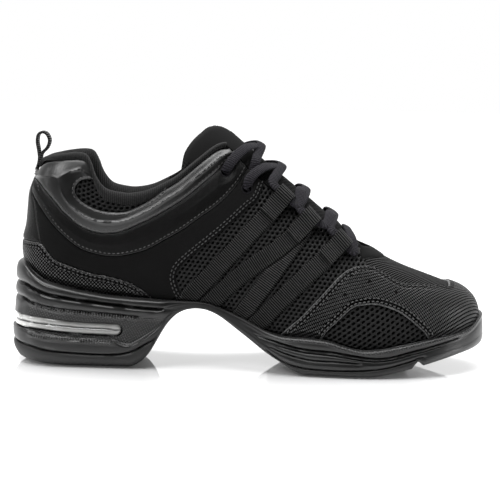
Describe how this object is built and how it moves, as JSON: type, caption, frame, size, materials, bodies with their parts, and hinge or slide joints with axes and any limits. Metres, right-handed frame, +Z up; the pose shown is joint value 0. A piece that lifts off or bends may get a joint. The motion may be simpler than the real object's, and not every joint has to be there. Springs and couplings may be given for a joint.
{
  "type": "dance practice shoe",
  "caption": "Right dance practice sneaker with a split, ribbed sole, a raised heel, a mesh upper with leather overlays, webbing straps and laces.",
  "frame": {"origin": "middle of the flat underside of the heel, on the floor", "axes": "+X from the heel to the toe, +Z up, -Y to the outer side of the foot"},
  "size_m": [0.2688, 0.095, 0.1383],
  "materials": {
    "mesh": "black knitted mesh, matte",
    "lining": "black padded knit lining, matte",
    "gloss_leather": "black synthetic leather, satin to glossy",
    "quarter_fabric": "deep black brushed synthetic, matte",
    "grain_leather": "black synthetic leather with a pressed weave, satin",
    "webbing": "black ribbed webbing",
    "lace": "charcoal flat woven lace",
    "rubber": "black moulded foam rubber, satin",
    "tread": "black outsole rubber, matte",
    "cell": "clear plastic cushion window, glossy"
  },
  "bodies": {
    "root": {"midsole": "rubber", "heel_tread": "tread", "forefoot_tread": "tread", "air_cell": "cell", "upper": "mesh", "insole": "lining", "tongue": "mesh", "collar_lining": "lining", "collar_leather": "gloss_leather", "collar_band_lateral": "gloss_leather", "collar_band_medial": "gloss_leather", "quarter_lateral": "quarter_fabric", "quarter_medial": "quarter_fabric", "heel_counter": "grain_leather", "backstay": "gloss_leather", "pull_loop": "webbing", "toe_guard": "grain_leather", "throat_guard": "gloss_leather", "strap_lateral_1": "webbing", "strap_medial_1": "webbing", "strap_lateral_2": "webbing", "strap_medial_2": "webbing", "strap_lateral_3": "webbing", "strap_medial_3": "webbing", "lace_crossing_1": "lace", "lace_crossing_2": "lace", "lace_crossing_3": "lace", "lace_crossing_4": "lace", "lace_bar": "lace"}
  },
  "joints": []
}
